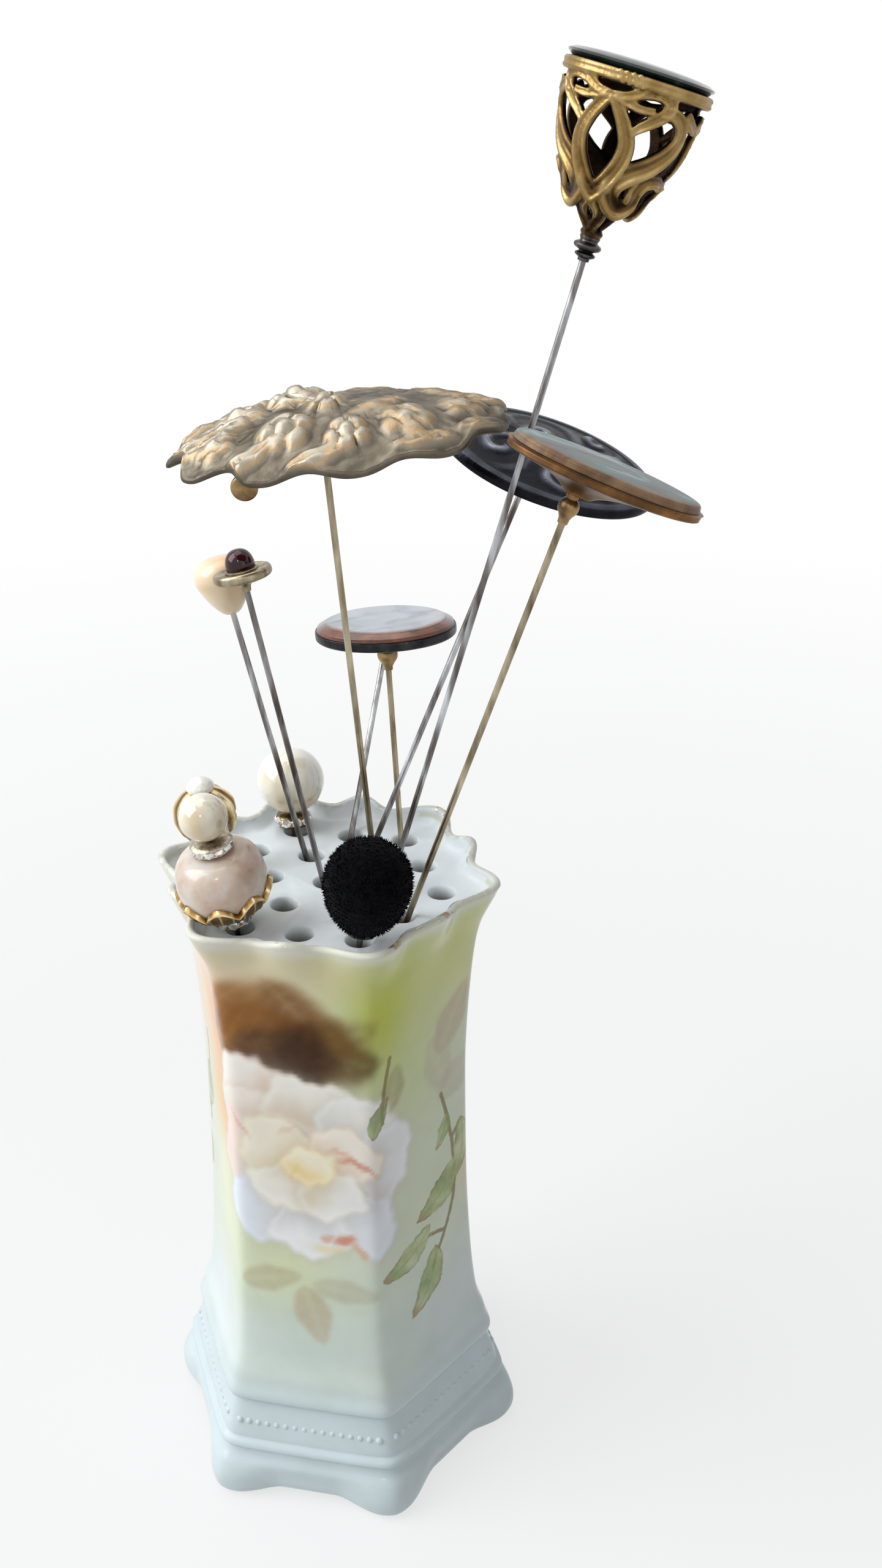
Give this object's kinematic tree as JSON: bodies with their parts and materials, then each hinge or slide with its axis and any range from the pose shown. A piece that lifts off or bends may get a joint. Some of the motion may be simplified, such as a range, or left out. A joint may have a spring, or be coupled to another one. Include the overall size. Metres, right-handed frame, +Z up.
{
  "type": "hatpin holder",
  "caption": "Hexagonal porcelain hatpin holder with a pierced, scalloped top, filled with ornamental hatpins that lift out along their shanks.",
  "frame": {"origin": "centre of the holder foot, on the surface that it stands on; the named underside face is recessed 1.25 mm above it", "axes": "+Z up along the holder, a corner of the hexagon towards -Y, the pictured side towards -Y and -X"},
  "size_m": [0.0853, 0.079, 0.2439],
  "materials": {
    "porcelain": "glossy clear glaze over soft hand-tinted grounds",
    "gilt": "antique gilt, bright on the high spots and brown in the hollows",
    "aged_brass": "old brass with a grey-brown patina",
    "steel": "drawn steel wire, slightly darkened",
    "dark_metal": "dark oxidised metal with worn edges",
    "nacre": "polished shell with a blue-grey sheen",
    "garnet": "polished dark red stone",
    "cream": "satin cream bead",
    "pearl": "pearly lustre",
    "frosted_pink": "frosted translucent pink",
    "crystal": "clear stones in a thin metal ring",
    "velvet": "matt black velvet",
    "dark_stone": "dark green-black polished stone"
  },
  "bodies": {
    "holder": {"porcelain_holder": "porcelain"},
    "filigree_pin": {"filigree_shank": "steel", "filigree_collar": "dark_metal", "filigree_cage": "gilt", "filigree_stone": "dark_stone"},
    "blossom_pin": {"blossom_shank": "aged_brass", "blossom_socket": "aged_brass", "blossom_head": "aged_brass", "blossom_lug": "aged_brass"},
    "disc_pin": {"disc_shank": "steel", "disc_socket": "dark_metal", "disc_plate": "dark_metal"},
    "shell_pin": {"shell_shank": "aged_brass", "shell_ball": "aged_brass", "shell_back": "aged_brass", "shell_plate": "nacre"},
    "oval_pin": {"oval_shank": "aged_brass", "oval_ball": "aged_brass", "oval_back": "dark_metal", "oval_plate": "nacre"},
    "second_pin": {"second_shank": "steel", "second_bead": "aged_brass"},
    "garnet_pin": {"garnet_shank": "steel", "garnet_dish": "aged_brass", "garnet_stone": "garnet"},
    "cream_pin": {"cream_shank": "steel", "cream_bead": "cream"},
    "pearl_pin": {"pearl_shank": "steel", "pearl_rondelle": "gilt", "pearl_bead": "pearl"},
    "stack_pin": {"stack_shank": "steel", "stack_lower_rondelle": "crystal", "stack_cap": "gilt", "stack_bead": "frosted_pink", "stack_upper_rondelle": "crystal", "stack_pearl": "pearl"},
    "swirl_pin": {"swirl_shank": "steel", "swirl_rondelle": "dark_metal", "swirl_bead": "gilt", "swirl_tip": "pearl"},
    "velvet_pin": {"velvet_shank": "steel", "velvet_cup": "dark_metal", "velvet_ball": "velvet"}
  },
  "joints": [
    {"name": "filigree_lift", "type": "slide", "parent": "holder", "child": "filigree_pin", "axis": [0.2648, -0.0799, 0.961], "range_m": [0, 0.122]},
    {"name": "blossom_lift", "type": "slide", "parent": "holder", "child": "blossom_pin", "axis": [-0.1093, -0.0894, 0.99], "range_m": [0, 0.1185]},
    {"name": "disc_lift", "type": "slide", "parent": "holder", "child": "disc_pin", "axis": [0.376, -0.0522, 0.9252], "range_m": [0, 0.075]},
    {"name": "shell_lift", "type": "slide", "parent": "holder", "child": "shell_pin", "axis": [0.2285, -0.252, 0.9404], "range_m": [0, 0.125]},
    {"name": "oval_lift", "type": "slide", "parent": "holder", "child": "oval_pin", "axis": [0.0101, 0.2218, 0.975], "range_m": [0, 0.1205]},
    {"name": "second_lift", "type": "slide", "parent": "holder", "child": "second_pin", "axis": [0.3149, 0.3572, 0.8794], "range_m": [0, 0.0825]},
    {"name": "garnet_lift", "type": "slide", "parent": "holder", "child": "garnet_pin", "axis": [-0.1691, 0.135, 0.9763], "range_m": [0, 0.1205]},
    {"name": "cream_lift", "type": "slide", "parent": "holder", "child": "cream_pin", "axis": [-0.1915, 0.1792, 0.965], "range_m": [0, 0.1215]},
    {"name": "pearl_lift", "type": "slide", "parent": "holder", "child": "pearl_pin", "axis": [0.013, 0.1454, 0.9893], "range_m": [0, 0.1135]},
    {"name": "stack_lift", "type": "slide", "parent": "holder", "child": "stack_pin", "axis": [-0.1927, -0.0686, 0.9789], "range_m": [0, 0.114]},
    {"name": "swirl_lift", "type": "slide", "parent": "holder", "child": "swirl_pin", "axis": [-0.1021, -0.0034, 0.9948], "range_m": [0, 0.118]},
    {"name": "velvet_lift", "type": "slide", "parent": "holder", "child": "velvet_pin", "axis": [0.075, -0.2007, 0.9768], "range_m": [0, 0.1205]}
  ]
}
